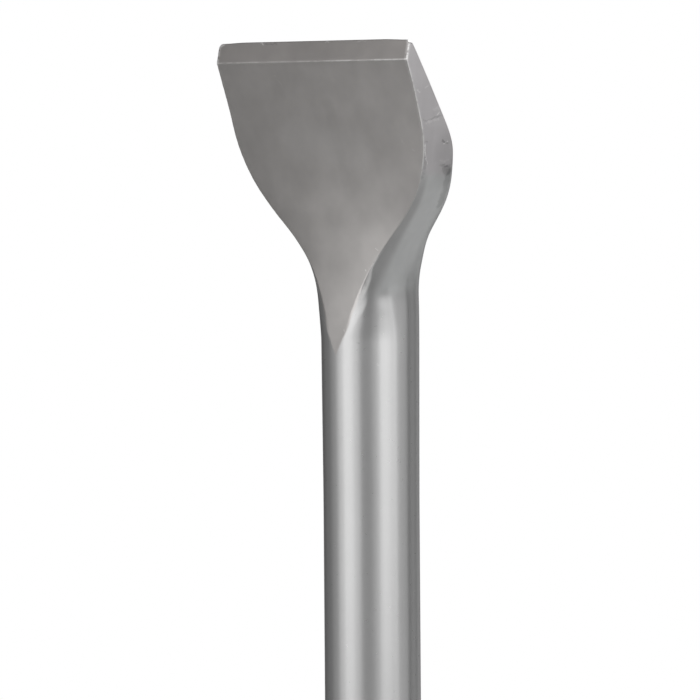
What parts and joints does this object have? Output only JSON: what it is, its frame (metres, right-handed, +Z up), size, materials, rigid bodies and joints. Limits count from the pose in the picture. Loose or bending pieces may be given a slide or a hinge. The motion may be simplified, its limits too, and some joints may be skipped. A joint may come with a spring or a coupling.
{
  "type": "wide cranked chisel bit",
  "caption": "Forged steel chisel for a breaking hammer: round bar with a grooved quick-change shank, flared neck and a wide, forward-cranked, ground blade.",
  "frame": {"origin": "centre of the flat striking face at the shank's end, on the bar's axis", "axes": "+Z up the bar from the striking face to the cutting edge, -Y the side the blade leans and is ground towards, +X along the cutting edge"},
  "size_m": [0.0502, 0.0244, 0.3],
  "materials": {
    "forged_steel": "satin"
  },
  "bodies": {
    "root": {"chisel": "forged_steel"}
  },
  "joints": []
}
